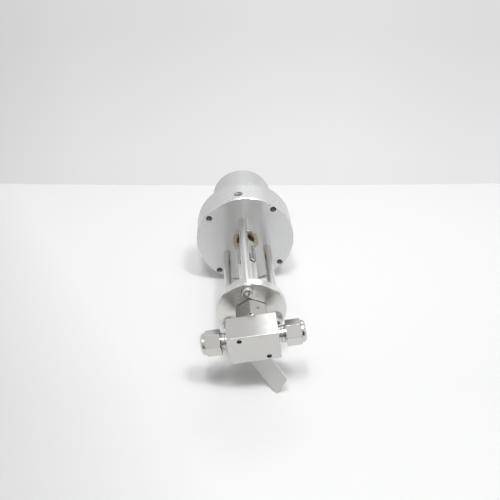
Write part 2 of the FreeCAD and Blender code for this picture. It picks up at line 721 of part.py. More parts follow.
def make_foot_bracket():
    """Bent strip held by the lower left post screw, drawn flat in its own frame.

    In that frame x runs along the strip towards the leg, y along its width with
    the screw at zero, and z towards the front of the valve. A straight foot in
    the flange's plane and the tip of the bent leg both stand on the table.
    """
    t = bracket_thickness
    bend = math.radians(bracket_bend)
    r = bracket_bend_radius
    flat_end = bracket_screw_to_bend + t * math.tan(bend / 2) - (r + t) * math.tan(bend / 2)
    low_edge = -bracket_screw_to_edge
    high_edge = low_edge + bracket_width
    screw_hole = Part.makeCylinder(screw_r + screw_hole_fit, 4 * t, Vector(0, 0, -t))
    centre = Vector(flat_end, 0, t + r)

    def on_bend(radius, angle):
        return centre.add(Vector(radius * math.sin(angle), 0, -radius * math.cos(angle)))

    outer_leg = on_bend(r + t, bend)
    inner_leg = on_bend(r, bend)
    along = Vector(math.cos(bend), 0, math.sin(bend))
    leg = along * leg_length_to_table(outer_leg.x, low_edge)
    flat_back = Vector(flat_end, 0, 0)
    flat_front = Vector(flat_end, 0, t)
    section = [Part.Arc(flat_back, on_bend(r + t, bend / 2), outer_leg)]
    section.append(Part.LineSegment(outer_leg, outer_leg.add(leg)))
    section.append(Part.LineSegment(outer_leg.add(leg), inner_leg.add(leg)))
    section.append(Part.LineSegment(inner_leg.add(leg), inner_leg))
    section.append(Part.Arc(inner_leg, on_bend(r, bend / 2), flat_front))
    section.append(Part.LineSegment(flat_front, flat_back))
    wire = Part.Wire([edge.toShape() for edge in section])
    strip = Part.Face(wire).extrude(Vector(0, bracket_width, 0))
    strip.translate(Vector(0, low_edge, 0))
    strip = round_leg_corners(strip, inner_leg.add(leg), along, low_edge, high_edge)

    root = [Vector(flat_end, low_edge, 0), Vector(0, -bracket_ear_r, 0)]
    root += [Vector(0, bracket_ear_r, 0), Vector(flat_end, high_edge, 0)]
    flat = Part.Face(Part.makePolygon(root + root[:1])).extrude(Vector(0, 0, t))
    flat = flat.fuse(foot_of_bracket()).fuse(Part.makeCylinder(bracket_ear_r, t))
    beside_leg = 2 * bracket_width
    corner = Vector(flat_end, low_edge - bracket_relief, -t)
    relief = Part.makeBox(beside_leg, beside_leg, 4 * t, corner)
    return place_bracket(strip.fuse(flat.cut(relief)).cut(screw_hole).removeSplitter())


def foot_of_bracket():
    """Straight strip from the screw down to the table, cut off level with it."""
    roll = math.radians(bracket_screw_angle + valve_roll)
    screw_x = post_circle_r * math.cos(roll)
    screw_z = post_circle_r * math.sin(roll)
    reach = math.hypot(foot_x - screw_x, actuator_r + screw_z)
    half_base = foot_width / 2 * reach / (actuator_r + screw_z)
    side_x = foot_width / 2 * (actuator_r + screw_z) / reach
    side_z = foot_width / 2 * (foot_x - screw_x) / reach
    corners = [in_strip_frame(screw_x - side_x, screw_z - side_z)]
    corners.append(in_strip_frame(foot_x - half_base, -actuator_r))
    corners.append(in_strip_frame(foot_x + half_base, -actuator_r))
    corners.append(in_strip_frame(screw_x + side_x, screw_z + side_z))
    points = [Vector(x, y, 0) for x, y in corners]
    return Part.Face(Part.makePolygon(points + points[:1])).extrude(Vector(0, 0, bracket_thickness))


def round_leg_corners(strip, end, along, low_edge, high_edge):
    """Round the two corners at the free end of the leg."""
    normal = along.cross(Vector(0, 1, 0))
    depth = 6 * bracket_thickness
    for y, inward, radius in ((low_edge, 1, bracket_tip_corner), (high_edge, -1, bracket_far_corner)):
        corner = Vector(end.x, y, end.z)
        centre = corner.sub(along * radius).add(Vector(0, inward * radius, 0))
        points = [corner.add(along * 2).sub(Vector(0, 2 * inward, 0))]
        points.append(points[0].sub(along * (radius + 2)))
        points.append(points[1].add(Vector(0, inward * (radius + 2), 0)))
        points.append(points[0].add(Vector(0, inward * (radius + 2), 0)))
        block = Part.Face(Part.makePolygon(points + points[:1])).extrude(normal * depth)
        block.translate(normal * (-depth / 2))
        round_part = Part.makeCylinder(radius, depth, centre.sub(normal * (depth / 2)), normal)
        strip = strip.cut(block.cut(round_part))
    return strip


def place_bracket(strip):
    x, z = on_circle(post_circle_r, bracket_screw_angle)
    turn = math.radians(bracket_turn)
    lengthwise = Vector(math.cos(turn), 0, math.sin(turn))
    across = Vector(-math.sin(turn), 0, math.cos(turn))
    forward = Vector(0, -1, 0)
    matrix = FreeCAD.Matrix(lengthwise.x, across.x, forward.x, x,
                            lengthwise.y, across.y, forward.y, flange_face,
                            lengthwise.z, across.z, forward.z, z,
                            0, 0, 0, 1)
    strip = strip.copy()
    strip.Placement = Placement(matrix).multiply(strip.Placement)
    return strip


nodes = {
    "valve_body": make_valve_body(),
    "left_tube_nut": make_tube_nut(-1, nut_turn_left),
    "right_tube_nut": make_tube_nut(1, nut_turn_right),
    "left_front_ferrule": make_front_ferrule(-1),
    "right_front_ferrule": make_front_ferrule(1),
    "left_back_ferrule": make_back_ferrule(-1),
    "right_back_ferrule": make_back_ferrule(1),
    "union_nut": make_union_nut(),
    "bonnet": make_bonnet(),
    "bonnet_gasket": make_bonnet_gasket(),
    "bonnet_lock_nut": make_bonnet_lock_nut(),
    "bellows": make_bellows(),
    "valve_stem": make_valve_stem(),
    "stem_tip": make_stem_tip(),
    "yoke_flange": make_yoke_flange(),
    "top_post": make_post(post_angles[0]),
    "left_post": make_post(post_angles[1]),
    "right_post": make_post(post_angles[2]),
    "post_screws": make_post_screws(),
    "post_washers": make_post_washers(),
    "foot_bracket": make_foot_bracket(),
    "stem_coupling": make_stem_coupling(),
    "rod_nut": make_rod_nut(),
    "piston_rod": make_piston_rod(),
    "rod_bushing": make_rod_bushing(),
    "rod_seal": make_rod_seal(),
    "actuator_cylinder": make_actuator_cylinder(),
    "clamp_screws": make_clamp_screws(),
    "piston": make_piston(),
    "piston_seal": make_piston_seal(),
    "piston_nut": make_piston_nut(),
    "spring_housing": make_spring_housing(),
    "cover_seal": make_cover_seal(),
    "spring_seat": make_spring_seat(),
    "outer_spring": make_spring(outer_spring_r, outer_wire_width, outer_wire_height, outer_turns),
    "inner_spring": make_spring(inner_spring_r, inner_wire_width, inner_wire_height, inner_turns),
}

for name, shape in nodes.items():
    shape = shape.copy()
    shape.rotate(Vector(0, 0, 0), Vector(0, 1, 0), -valve_roll)
    shape.exportStep(os.path.join("parts", name + ".step"))
    box = shape.BoundBox
    state = "ok" if shape.isValid() else "NOT VALID"
    low = "%.1f %.1f %.1f" % (box.XMin, box.YMin, box.ZMin)
    high = "%.1f %.1f %.1f" % (box.XMax, box.YMax, box.ZMax)
    print(name, len(shape.Solids), state, round(shape.Volume, 1), low, "to", high)
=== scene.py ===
import math

import bmesh
import bpy
from mathutils import Matrix, Vector


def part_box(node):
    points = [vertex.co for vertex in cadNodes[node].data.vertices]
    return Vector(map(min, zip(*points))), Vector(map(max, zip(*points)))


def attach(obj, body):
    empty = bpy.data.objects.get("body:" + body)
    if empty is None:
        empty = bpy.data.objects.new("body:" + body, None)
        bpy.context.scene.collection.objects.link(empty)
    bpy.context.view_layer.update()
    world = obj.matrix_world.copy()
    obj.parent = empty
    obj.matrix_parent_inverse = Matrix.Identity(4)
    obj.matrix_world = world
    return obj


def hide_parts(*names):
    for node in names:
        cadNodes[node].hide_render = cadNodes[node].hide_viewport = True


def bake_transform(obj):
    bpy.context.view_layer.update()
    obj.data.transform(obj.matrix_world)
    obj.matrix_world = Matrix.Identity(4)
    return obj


# Pneumatic shut-off valve lying on a white table. Metres, stem axis along +Y, +Z up.
mm = 0.001
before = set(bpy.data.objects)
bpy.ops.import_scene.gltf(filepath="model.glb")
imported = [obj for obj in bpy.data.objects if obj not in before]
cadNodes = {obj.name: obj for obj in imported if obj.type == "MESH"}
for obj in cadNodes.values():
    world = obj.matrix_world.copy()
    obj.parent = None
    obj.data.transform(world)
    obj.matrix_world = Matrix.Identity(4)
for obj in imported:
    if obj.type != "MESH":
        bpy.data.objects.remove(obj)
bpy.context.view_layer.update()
print("frame loaded,", len(cadNodes), "nodes")

# How the valve lies: drawn upright, then rolled about the stem axis.
lie = {
    "roll": math.radians(7.6),              # the right-hand port is raised
    "tableZ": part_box("foot_bracket")[0].z,
    "stem": (0.0, 1.0, 0.0),
}


def asLying(x, y, z):
    # a place or direction of the upright valve, turned as the valve lies
    c, s = math.cos(lie["roll"]), math.sin(lie["roll"])
    return Vector((x * c - z * s, y, x * s + z * c))


portAxis = tuple(asLying(1.0, 0.0, 0.0))
bodyMiddle = (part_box("left_tube_nut")[0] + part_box("right_tube_nut")[1]) / 2


def addNode(tree, kind, inputs=None, **settings):
    # one node with its settings, and its inputs as values or as other nodes' outputs
    node = tree.nodes.new(kind)
    for name, value in settings.items():
        setattr(node, name, value)
    for socket, value in (inputs or {}).items():
        if isinstance(value, bpy.types.NodeSocket):
            tree.links.new(value, node.inputs[socket])
        else:
            node.inputs[socket].default_value = value
    return node


def math2(tree, operation, a, b=0.0):
    return addNode(tree, "ShaderNodeMath", {0: a, 1: b}, operation=operation).outputs[0]


def vector2(tree, operation, a, b=(0.0, 0.0, 0.0)):
    return addNode(tree, "ShaderNodeVectorMath", {0: a, 1: b}, operation=operation)


# Finishes. grain is the direction the tool left its marks in: "turned" runs round an axis,
# "drawn" runs along it. depth is the height of the marks, step their spacing.
finishes = {
    "cylinderAluminium": {
        "color": (0.676, 0.680, 0.683), "metal": 0.55, "rough": 0.28, "aniso": 0.85, "grain": "turned",
        "axis": lie["stem"], "centre": (0, 0, 0), "step": 0.9 * mm, "depth": 0.0005 * mm, "cloud": 0.02,
        "faceRough": 0.17, "edge": 0.2 * mm},
    # The housing has the cylinder's aluminium, less rough and painted darker: the darker colour is painted
    # shade that tones down the light on the housing.
    "housingAluminiumPaintedShade": {
        "color": (0.645, 0.649, 0.653), "metal": 0.55, "rough": 0.24, "aniso": 0.85, "grain": "turned",
        "axis": lie["stem"], "centre": (0, 0, 0), "step": 0.9 * mm, "depth": 0.0005 * mm, "cloud": 0.02,
        "faceRough": 0.17, "edge": 0.2 * mm},
    "turnedSteel": {
        "color": (0.73, 0.72, 0.70), "rough": 0.25, "aniso": 0.9, "grain": "turned",
        "axis": lie["stem"], "centre": (0, 0, 0), "step": 0.5 * mm, "depth": 0.006 * mm, "cloud": 0.06},
    "milledSteel": {
        "color": (0.62, 0.61, 0.595), "rough": 0.2, "aniso": 0.7, "grain": "drawn",
        "axis": portAxis, "centre": (0, 0, 0), "step": 0.5 * mm, "depth": 0.003 * mm, "cloud": 0.05,
        "edge": 0.4 * mm},
    "nutSteel": {
        "color": (0.60, 0.592, 0.572), "rough": 0.15, "aniso": 0.4, "grain": "turned",
        "axis": portAxis, "centre": tuple(bodyMiddle), "step": 0.5 * mm, "depth": 0.003 * mm,
        "cloud": 0.04},
    "unionSteel": {
        "color": (0.62, 0.61, 0.595), "rough": 0.12, "aniso": 0.3, "grain": "turned",
        "axis": lie["stem"], "centre": (0, 0, 0), "step": 0.5 * mm, "depth": 0.003 * mm, "cloud": 0.04},
    "groundSteel": {
        "color": (0.68, 0.675, 0.665), "rough": 0.24, "aniso": 0.3, "grain": "turned",
        "axis": lie["stem"], "centre": (0, 0, 0), "step": 1.5 * mm, "depth": 0.002 * mm, "cloud": 0.03},
    "polishedSteel": {
        "color": (0.74, 0.74, 0.74), "rough": 0.07, "aniso": 0.0, "grain": "turned",
        "axis": lie["stem"], "centre": (0, 0, 0), "step": 2.0 * mm, "depth": 0.001 * mm, "cloud": 0.02},
    "sheetSteel": {
        "color": (0.64, 0.636, 0.615), "rough": 0.38, "aniso": 0.3, "grain": "drawn",
        "axis": tuple(asLying(0.8, 0.0, -0.6)), "centre": (0, 0, 0), "step": 0.7 * mm,
        "depth": 0.003 * mm, "cloud": 0.04},
    "screwSteel": {
        "color": (0.60, 0.60, 0.60), "rough": 0.09, "aniso": 0.0, "grain": "drawn",
        "axis": lie["stem"], "centre": (0, 0, 0), "step": 0.8 * mm, "depth": 0.002 * mm, "cloud": 0.06},
    "springSteel": {
        "color": (0.34, 0.34, 0.35), "rough": 0.35, "aniso": 0.0, "grain": "drawn",
        "axis": lie["stem"], "centre": (0, 0, 0), "step": 1.0 * mm, "depth": 0.004 * mm, "cloud": 0.08},
    "bronze": {
        "color": (0.57, 0.485, 0.355), "rough": 0.28, "aniso": 0.6, "grain": "turned",
        "axis": lie["stem"], "centre": (0, 0, 0), "step": 0.6 * mm, "depth": 0.004 * mm, "cloud": 0.08},
    "platedGasket": {
        "color": (0.55, 0.55, 0.54), "rough": 0.3, "aniso": 0.0, "grain": "turned",
        "axis": lie["stem"], "centre": (0, 0, 0), "step": 0.8 * mm, "depth": 0.002 * mm, "cloud": 0.04},
}


def grainOf(tree, finish):
    # returns the coordinate that changes across the tool marks, and the marks' own direction
    place = addNode(tree, "ShaderNodeTexCoord").outputs["Object"]
    apart = vector2(tree, "SUBTRACT", place, finish["centre"]).outputs["Vector"]
    axis = finish["axis"]
    if finish["grain"] == "turned":
        along = vector2(tree, "CROSS_PRODUCT", axis, apart).outputs["Vector"]
        radius = vector2(tree, "LENGTH", along).outputs["Value"]
        height = vector2(tree, "DOT_PRODUCT", apart, axis).outputs["Value"]
        across = math2(tree, "ADD", radius, height)
    else:
        along = addNode(tree, "ShaderNodeCombineXYZ", dict(enumerate(axis))).outputs["Vector"]
        around = vector2(tree, "CROSS_PRODUCT", axis, apart).outputs["Vector"]
        split = addNode(tree, "ShaderNodeSeparateXYZ", {"Vector": around})
        across = math2(tree, "ADD", split.outputs["X"], math2(tree, "SUBTRACT", split.outputs["Y"],
                                                              split.outputs["Z"]))
    world = addNode(tree, "ShaderNodeVectorTransform", {"Vector": along},
                    vector_type="VECTOR", convert_from="OBJECT", convert_to="WORLD")
    return place, across, world.outputs["Vector"]


metalGrain = {
    "markDetail": 3.0, "markShare": 0.7,          # how much the marks count beside the clouds
    "cloudScale": 90.0, "cloudDetail": 4.0,
    "turn": 0.25,                                 # highlights stretch across the marks
    "faceFrom": 0.90, "faceTo": 0.98,             # how square to the axis a turned end is
    "edge": 0.25 * mm, "edgeSamples": 6,
}


def makeMetal(name, finish):
    g = metalGrain
    material = bpy.data.materials.new(name)
    material.use_nodes = True
    tree = material.node_tree
    shader = tree.nodes["Principled BSDF"]
    place, across, direction = grainOf(tree, finish)
    shader.inputs["Metallic"].default_value = finish.get("metal", 1.0)
    shader.inputs["Anisotropic"].default_value = finish["aniso"]
    shader.inputs["Anisotropic Rotation"].default_value = g["turn"]
    tree.links.new(direction, shader.inputs["Tangent"])
    steps = math2(tree, "DIVIDE", across, finish["step"])
    marks = addNode(tree, "ShaderNodeTexNoise", {"W": steps, "Scale": 1.0, "Detail": g["markDetail"]},
                    noise_dimensions="1D").outputs["Fac"]
    clouds = addNode(tree, "ShaderNodeTexNoise",
                     {"Vector": place, "Scale": g["cloudScale"], "Detail": g["cloudDetail"]},
                     noise_dimensions="3D").outputs["Fac"]
    uneven = math2(tree, "ADD", math2(tree, "SUBTRACT", clouds, 0.5),
                   math2(tree, "MULTIPLY", math2(tree, "SUBTRACT", marks, 0.5), g["markShare"]))
    rough = math2(tree, "MULTIPLY_ADD", uneven, finish["cloud"] * 2)
    rough.node.inputs[2].default_value = finish["rough"]
    if "faceRough" in finish:
        # the flat turned ends are finer than the round sides
        normal = addNode(tree, "ShaderNodeNewGeometry").outputs["True Normal"]
        level = vector2(tree, "DOT_PRODUCT", normal, finish["axis"]).outputs["Value"]
        flat = addNode(tree, "ShaderNodeMapRange", {
            "Value": math2(tree, "ABSOLUTE", level), "From Min": g["faceFrom"], "From Max": g["faceTo"],
            "To Min": finish["rough"], "To Max": finish["faceRough"]}).outputs["Result"]
        tree.links.new(flat, rough.node.inputs[2])
    tree.links.new(rough, shader.inputs["Roughness"])
    shade = math2(tree, "MULTIPLY_ADD", uneven, -finish["cloud"])
    shade.node.inputs[2].default_value = 1.0
    tint = vector2(tree, "SCALE", finish["color"])
    tree.links.new(shade, tint.inputs["Scale"])
    tree.links.new(tint.outputs["Vector"], shader.inputs["Base Color"])
    worn = addNode(tree, "ShaderNodeBevel", {"Radius": finish.get("edge", g["edge"])},
                   samples=g["edgeSamples"])
    bump = addNode(tree, "ShaderNodeBump", {"Height": marks, "Distance": finish["depth"],
                                            "Strength": 1.0, "Normal": worn.outputs["Normal"]})
    tree.links.new(bump.outputs["Normal"], shader.inputs["Normal"])
    return material


softGrain = {"detail": 3.0, "roughSpread": 0.1}
softLooks = {
    "sealRubber": {"color": (0.055, 0.043, 0.034), "rough": 0.55, "speck": 600.0, "depth": 0.02 * mm},
    "seatPolymer": {"color": (0.78, 0.77, 0.72), "rough": 0.45, "speck": 400.0, "depth": 0.01 * mm},
}


def makeSoft(name, look):
    # rubber and polymer: dull, with a fine speckle
    material = bpy.data.materials.new(name)
    material.use_nodes = True
    tree = material.node_tree
    shader = tree.nodes["Principled BSDF"]
    place = addNode(tree, "ShaderNodeTexCoord").outputs["Object"]
    speck = addNode(tree, "ShaderNodeTexNoise", {"Vector": place, "Scale": look["speck"],
                                                 "Detail": softGrain["detail"]})
    dull = addNode(tree, "ShaderNodeMapRange", {
        "Value": speck.outputs["Fac"], "To Min": look["rough"] - softGrain["roughSpread"],
        "To Max": look["rough"] + softGrain["roughSpread"]})
    tree.links.new(dull.outputs["Result"], shader.inputs["Roughness"])
    bump = addNode(tree, "ShaderNodeBump", {"Height": speck.outputs["Fac"], "Distance": look["depth"]})
    tree.links.new(bump.outputs["Normal"], shader.inputs["Normal"])
    shader.inputs["Base Color"].default_value = (*look["color"], 1.0)
    return material


materials = {name: makeMetal(name, finish) for name, finish in finishes.items()}
materials.update({name: makeSoft(name, look) for name, look in softLooks.items()})

finishOf = {
    "cylinderAluminium": ["actuator_cylinder", "piston"],
    "housingAluminiumPaintedShade": ["spring_housing"],
    "turnedSteel": ["yoke_flange", "bonnet", "bellows", "valve_stem"],
    "milledSteel": ["valve_body"],
    "nutSteel": ["left_tube_nut", "right_tube_nut", "left_front_ferrule", "right_front_ferrule",
                 "left_back_ferrule", "right_back_ferrule"],
    "unionSteel": ["union_nut", "bonnet_lock_nut", "rod_nut", "piston_nut", "stem_coupling"],
    "groundSteel": ["top_post", "left_post", "right_post"],
    "polishedSteel": ["piston_rod"],
    "sheetSteel": ["foot_bracket", "spring_seat"],
    "screwSteel": ["post_screws", "post_washers", "clamp_screws"],
    "springSteel": ["outer_spring", "inner_spring"],
    "bronze": ["rod_bushing"],
    "platedGasket": ["bonnet_gasket"],
    "sealRubber": ["rod_seal", "piston_seal", "cover_seal"],
    "seatPolymer": ["stem_tip"],
}
for finishName, members in finishOf.items():
    for member in members:
        mesh = cadNodes[member].data
        mesh.materials.clear()
        mesh.materials.append(materials[finishName])
print("finishes on", sum(len(members) for members in finishOf.values()), "nodes")


def newTree(name, sizes):
    # an empty geometry tree with named inputs for its sizes
    tree = bpy.data.node_groups.new(name, "GeometryNodeTree")
    for size, kind in sizes.items():
        tree.interface.new_socket(name=size, in_out="INPUT", socket_type=kind)
    tree.interface.new_socket(name="Geometry", in_out="OUTPUT", socket_type="NodeSocketGeometry")
    return tree, tree.nodes.new("NodeGroupInput").outputs


def endTree(tree, shape, material):
    real = addNode(tree, "GeometryNodeRealizeInstances", {"Geometry": shape})
    painted = addNode(tree, "GeometryNodeSetMaterial", {"Geometry": real.outputs[0],
                                                        "Material": material})
    addNode(tree, "NodeGroupOutput", {"Geometry": painted.outputs[0]})


def meshFrom(tree, sizes):
    # runs a tree once with these sizes and returns its plain mesh
    holder = bpy.data.objects.new(tree.name, bpy.data.meshes.new(tree.name))
    bpy.context.scene.collection.objects.link(holder)
    modifier = holder.modifiers.new("make", "NODES")
    modifier.node_group = tree
    for item in tree.interface.items_tree:
        if item.item_type == "SOCKET" and item.name in sizes:
            modifier[item.identifier] = sizes[item.name]
    seen = holder.evaluated_get(bpy.context.evaluated_depsgraph_get())
    made = bpy.data.meshes.new_from_object(seen)
    holder.modifiers.remove(modifier)
    bpy.data.objects.remove(holder)
    return made


def addPiece(name, meshes, body):
    # joins meshes that are already in place into one piece on a body
    piece = bpy.data.objects.new(name, meshes[0])
    bpy.context.scene.collection.objects.link(piece)
    extras = []
    for other in meshes[1:]:
        extra = bpy.data.objects.new(name + "Part", other)
        bpy.context.scene.collection.objects.link(extra)
        extras.append(extra)
    if extras:
        with bpy.context.temp_override(active_object=piece, selected_editable_objects=[piece] + extras):
            bpy.ops.object.join()
    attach(piece, body)
    return piece


def alignTo(axis, place):
    # a matrix that stands +Z along an axis at a place
    return Matrix.Translation(place) @ Vector(axis).to_track_quat("Z", "Y").to_matrix().to_4x4()


def makeThreadTree():
    # one helical ridge with a diamond section, half of it sunk in the wall it stands on
    tree, given = newTree("threadRidge", {
        "Radius": "NodeSocketFloat", "Pitch": "NodeSocketFloat", "Turns": "NodeSocketFloat",
        "Ridge": "NodeSocketFloat", "Steps": "NodeSocketInt"})
    length = math2(tree, "MULTIPLY", given["Pitch"], given["Turns"])
    spiral = addNode(tree, "GeometryNodeCurveSpiral", {
        "Resolution": given["Steps"], "Rotations": given["Turns"], "Start Radius": given["Radius"],
        "End Radius": given["Radius"], "Height": length})
    upright = addNode(tree, "GeometryNodeSetCurveNormal", {"Curve": spiral.outputs[0]}, mode="Z_UP")
    section = addNode(tree, "GeometryNodeCurvePrimitiveCircle", {"Resolution": 4, "Radius": given["Ridge"]})
    ridge = addNode(tree, "GeometryNodeCurveToMesh", {
        "Curve": upright.outputs[0], "Profile Curve": section.outputs[0], "Fill Caps": True})
    return tree, ridge.outputs[0]


tubeThread = {
    "radius": 6.42 * mm, "pitch": 1.27 * mm, "ridge": 0.72 * mm, "steps": 48,
    "start": 23.4 * mm, "end": 25.0 * mm,    # from the stem axis to just outside the nut
}
airThread = {
    "radius": 4.3 * mm, "pitch": 0.94 * mm, "ridge": 0.35 * mm, "steps": 48,
    "depth": 7.0 * mm, "y": 158.6 * mm, "cylinderRadius": 48.05 * mm,
}


def addThreads():
    # on the necks behind the tube nuts and in the air port
    tree, ridge = makeThreadTree()
    endTree(tree, ridge, materials["nutSteel"])
    t = tubeThread
    sizes = {"Radius": t["radius"], "Pitch": t["pitch"], "Ridge": t["ridge"], "Steps": t["steps"],
             "Turns": (t["end"] - t["start"]) / t["pitch"]}
    for side, name in ((-1, "leftTubeThread"), (1, "rightTubeThread")):
        made = meshFrom(tree, sizes)
        foot = Vector(portAxis) * side * t["start"] + Vector((0, bodyMiddle.y, 0))
        made.transform(alignTo(Vector(portAxis) * side, foot))
        addPiece(name, [made], "valve")
    airTree, airRidge = makeThreadTree()
    endTree(airTree, airRidge, materials["cylinderAluminium"])
    a = airThread
    made = meshFrom(airTree, {     # one pitch stays free at each end
        "Radius": a["radius"], "Pitch": a["pitch"], "Ridge": a["ridge"], "Steps": a["steps"],
        "Turns": (a["depth"] - 2 * a["pitch"]) / a["pitch"]})
    upward = asLying(0, 0, 1)
    made.transform(alignTo(upward, upward * (a["cylinderRadius"] - a["depth"] + a["pitch"])
                           + Vector((0, a["y"], 0))))
    addPiece("airPortThread", [made], "valve")


screwHeads = {
    "circle": 23.0 * mm, "radius": 4.35 * mm, "ribs": 44, "ribRadius": 0.2 * mm, "ribLength": 3.3 * mm,
    "ribSides": 6, "headMiddle": 3.0 * mm,
    "plainAngles": (90.0, 330.0), "bracketAngle": 210.0, "bracketSheet": 1.6 * mm,
}


def addScrewKnurls():
    # straight ribs round the cap screws' heads
    s = screwHeads
    tree, given = newTree("screwKnurl", {
        "Count": "NodeSocketInt", "Head Radius": "NodeSocketFloat", "Rib Radius": "NodeSocketFloat",
        "Rib Length": "NodeSocketFloat"})
    ring = addNode(tree, "GeometryNodeMeshCircle", {"Vertices": given["Count"],
                                                    "Radius": given["Head Radius"]})
    rib = addNode(tree, "GeometryNodeMeshCylinder", {
        "Vertices": s["ribSides"], "Radius": given["Rib Radius"], "Depth": given["Rib Length"]})
    ribs = addNode(tree, "GeometryNodeInstanceOnPoints", {
        "Points": ring.outputs[0], "Instance": rib.outputs["Mesh"]})
    endTree(tree, ribs.outputs[0], materials["screwSteel"])
    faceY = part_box("yoke_flange")[0].y
    made = []
    for angle in (*s["plainAngles"], s["bracketAngle"]):
        turn = math.radians(angle)
        middle = faceY - s["headMiddle"] - (s["bracketSheet"] if angle == s["bracketAngle"] else 0.0)
        place = asLying(s["circle"] * math.cos(turn), middle, s["circle"] * math.sin(turn))
        knurl = meshFrom(tree, {"Count": s["ribs"], "Head Radius": s["radius"],
                                "Rib Radius": s["ribRadius"], "Rib Length": s["ribLength"]})
        knurl.transform(alignTo(lie["stem"], place))
        made.append(knurl)
    addPiece("screwKnurls", made, "valve")


addThreads()
addScrewKnurls()
print("threads and knurls made")

# Bellows and springs: merged copies take the place of the CAD nodes, which are hidden.
flexing = {"bellows": "stainless_steel", "outer_spring": "spring_steel", "inner_spring": "spring_steel"}
mergeWithin = 0.0005 * mm


def addFlexing():
    # merged copies of the bellows and springs, shown in place of their hidden CAD nodes
    for node, slot in flexing.items():
        mesh = cadNodes[node].data.copy()
        joined = bmesh.new()
        joined.from_mesh(mesh)
        bmesh.ops.remove_doubles(joined, verts=joined.verts, dist=mergeWithin)
        joined.to_mesh(mesh)
        joined.free()
        piece = bpy.data.objects.new(node + "Flexing", mesh)
        bpy.context.scene.collection.objects.link(piece)
        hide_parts(node)
        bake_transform(piece)


addFlexing()

# The room: a white table that ends at a pale wall. Metal mirrors a grey ceiling, bright corners
# beside the wall and a dark strip on the camera's side. A pair whose name ends in X, Y or Z says
# between which values of the direction one shade of the room fades into the next.
room = {
    # The table's colour carries painted light towards the wall and painted shade to the left.
    "tableColor": (0.852, 0.860, 0.857), "tableFarPaintedLight": (0.99, 0.99, 0.99),
    "tableNear": 0.0, "tableFar": 0.36,
    "paintedShadeWay": (1.0, 0.6, 0.0), "paintedShadeStart": -0.08, "paintedShadeEnd": -0.24, "paintedShadeShare": 0.785,
    "tableRough": 0.5, "tableBack": 0.370, "tableSlope": -0.0529,
    "tableSide": 3.0, "tableFront": -0.9,
    "bow": 0.0050, "bowHalf": 0.34, "bowSteps": 24,    # the lens bends the far edge
    "wall": ((0.08, 0.675), (0.25, 0.77), (0.40, 0.80), (0.57, 0.835), (0.72, 0.845), (0.92, 0.805)),
    "wallTop": 0.90, "wallTopZ": (-0.385, -0.19),
    "ceiling": (0.77, 0.77, 0.765), "leftCorner": (1.05, 1.05, 1.045), "rightCorner": (1.3, 1.3, 1.295),
    "cameraSide": (0.075, 0.07, 0.06), "aboveCamera": (0.95, 0.95, 0.945),
    "frontLeft": (1.00, 0.99, 0.96), "frontRight": (1.45, 1.44, 1.41),
    "cornerX": (-0.2, 0.2), "cornerToWallY": (0.70, 0.84), "wallToCeilingZ": (0.20, 0.42),
    "frontX": (-0.30, 0.30), "frontZ": (0.12, 0.32), "frontToCeilingZ": (0.42, 0.62),
    "cameraZ": (0.62, 0.71), "cameraToCeilingZ": (0.80, 0.88), "cameraX": (0.12, 0.28),
    "frontToBackY": (-0.45, 0.05),
    "fill": (0.34, 0.34, 0.338),
}
# The two panels light the object from above; the strips and the window make the bright streaks.
lamps = {
    "softPanel": {"place": (-0.20, -0.34, 2.6), "aim": (0.0, 0.10, 0.0), "size": (0.9, 0.9), "power": 16.5},
    "sidePanel": {"place": (0.85, -0.42, 2.2), "aim": (0.0, 0.10, 0.0), "size": (0.7, 0.7), "power": 6.2},
    "rightStrip": {
        "place": (0.24, -0.18, 0.95), "aim": (0.0, 0.02, -0.05), "size": (0.05, 0.20), "power": 2.5},
    "middleStrip": {
        "place": (-0.08, -0.18, 0.95), "aim": (0.0, 0.02, -0.05), "size": (0.05, 0.20), "power": 1.4},
    "rearWindow": {
        "place": (0.165, 0.55, 0.56), "aim": (0.165, 0.0, 0.56), "size": (0.48, 0.28), "power": 0.85},
}
glints = {
    "places": (-0.62, -0.28, 0.74), "y": -0.25, "z": 0.92, "aim": (0.0, 0.04, 0.0), "size": (0.05, 0.12),
    "power": 0.12,
}
for k, x in enumerate(glints["places"]):
    lamps["glint" + str(k)] = {"place": (x, glints["y"], glints["z"]), "aim": glints["aim"],
                               "size": glints["size"], "power": glints["power"]}


